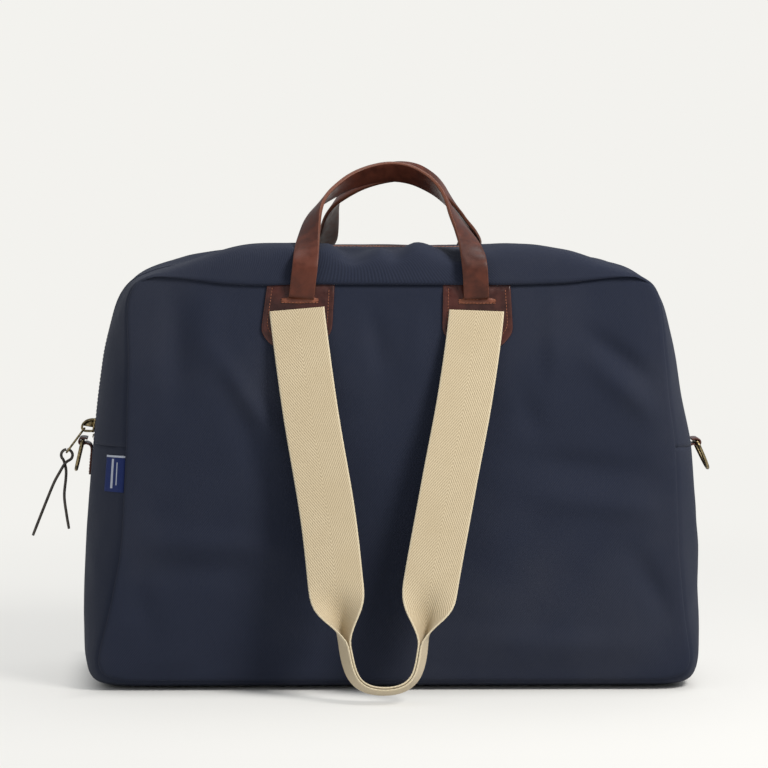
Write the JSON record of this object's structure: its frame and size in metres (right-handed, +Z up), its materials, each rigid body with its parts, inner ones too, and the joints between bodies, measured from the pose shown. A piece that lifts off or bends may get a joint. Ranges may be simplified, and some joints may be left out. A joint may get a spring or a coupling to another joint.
{
  "type": "weekend travel bag",
  "caption": "Soft canvas travel bag with a zipped top, leather carrying handles, webbing shoulder straps, leather patches and side D-rings.",
  "frame": {"origin": "on the floor under the middle of the bag's base", "axes": "+Z up, +X along the bag to its right end seen from the front, +Y to the back"},
  "size_m": [0.6139, 0.3442, 0.4649],
  "materials": {
    "navy_canvas": "dense cotton twill, matt, faintly brushed",
    "zip_tape": "brown woven zip tape",
    "antique_brass": "aged brass, satin",
    "cotton_lining": "plain cotton",
    "base_board": "stiff fibre board",
    "patch_leather": "dark red-brown leather, waxed",
    "handle_leather": "red-brown leather, lightly polished",
    "beige_webbing": "beige herringbone cotton webbing",
    "woven_label": "blue woven label with no lettering",
    "lace_leather": "dark grey-brown leather lace"
  },
  "bodies": {
    "bag": {"front_panel": "navy_canvas", "back_panel": "navy_canvas", "lower_gusset": "navy_canvas", "zip_gusset_front": "navy_canvas", "zip_gusset_back": "navy_canvas", "zip_tape_front": "zip_tape", "zip_tape_back": "zip_tape", "zip_teeth_front": "antique_brass", "zip_teeth_back": "antique_brass", "zip_stop_left": "antique_brass", "zip_stop_right": "antique_brass", "lining": "cotton_lining", "inner_pocket": "cotton_lining", "base_board": "base_board", "patch_front_left": "patch_leather", "patch_front_right": "patch_leather", "patch_back_left": "patch_leather", "patch_back_right": "patch_leather", "tab_left": "patch_leather", "tab_right": "patch_leather", "side_label": "woven_label"},
    "handle_front": {"handle_front": "handle_leather"},
    "handle_back": {"handle_back": "handle_leather"},
    "strap_front": {"strap_front": "beige_webbing"},
    "strap_back": {"strap_back": "beige_webbing"},
    "d_ring_left": {"d_ring_left": "antique_brass"},
    "d_ring_right": {"d_ring_right": "antique_brass"},
    "slider": {"zip_slider": "antique_brass"},
    "puller": {"zip_puller": "antique_brass"},
    "lace": {"lace_long": "lace_leather", "lace_short": "lace_leather"}
  },
  "joints": [
    {"name": "zip_slide", "type": "slide", "parent": "bag", "child": "slider", "axis": [0.1657, 0, 0.9862], "range_m": [0, 0.09]},
    {"name": "puller_swing", "type": "hinge", "parent": "slider", "child": "puller", "pos_m": [-0.27591, 0, 0.22321], "axis": [0, 1, 0], "range_deg": [0, 130]},
    {"name": "lace_swing", "type": "hinge", "parent": "puller", "child": "lace", "pos_m": [-0.292, 0, 0.2014], "axis": [0, 1, 0], "range_deg": [-5, 45]},
    {"name": "ring_left_swing", "type": "hinge", "parent": "bag", "child": "d_ring_left", "pos_m": [-0.27738, 0, 0.2125], "axis": [0, 1, 0], "range_deg": [0, 10]},
    {"name": "ring_right_swing", "type": "hinge", "parent": "bag", "child": "d_ring_right", "pos_m": [0.27738, 0, 0.2125], "axis": [0, -1, 0], "range_deg": [0, 115]},
    {"name": "handle_front_swing", "type": "hinge", "parent": "bag", "child": "handle_front", "pos_m": [0, -0.0994, 0.346], "axis": [-1, 0, 0], "range_deg": [-85, 0]},
    {"name": "handle_back_swing", "type": "hinge", "parent": "bag", "child": "handle_back", "pos_m": [0, 0.0994, 0.346], "axis": [1, 0, 0], "range_deg": [-85, 0]},
    {"name": "strap_front_swing", "type": "hinge", "parent": "bag", "child": "strap_front", "pos_m": [0, -0.099, 0.3395], "axis": [-1, 0, 0], "range_deg": [0, 140]},
    {"name": "strap_back_swing", "type": "hinge", "parent": "bag", "child": "strap_back", "pos_m": [0, 0.099, 0.3395], "axis": [1, 0, 0], "range_deg": [0, 140]}
  ]
}
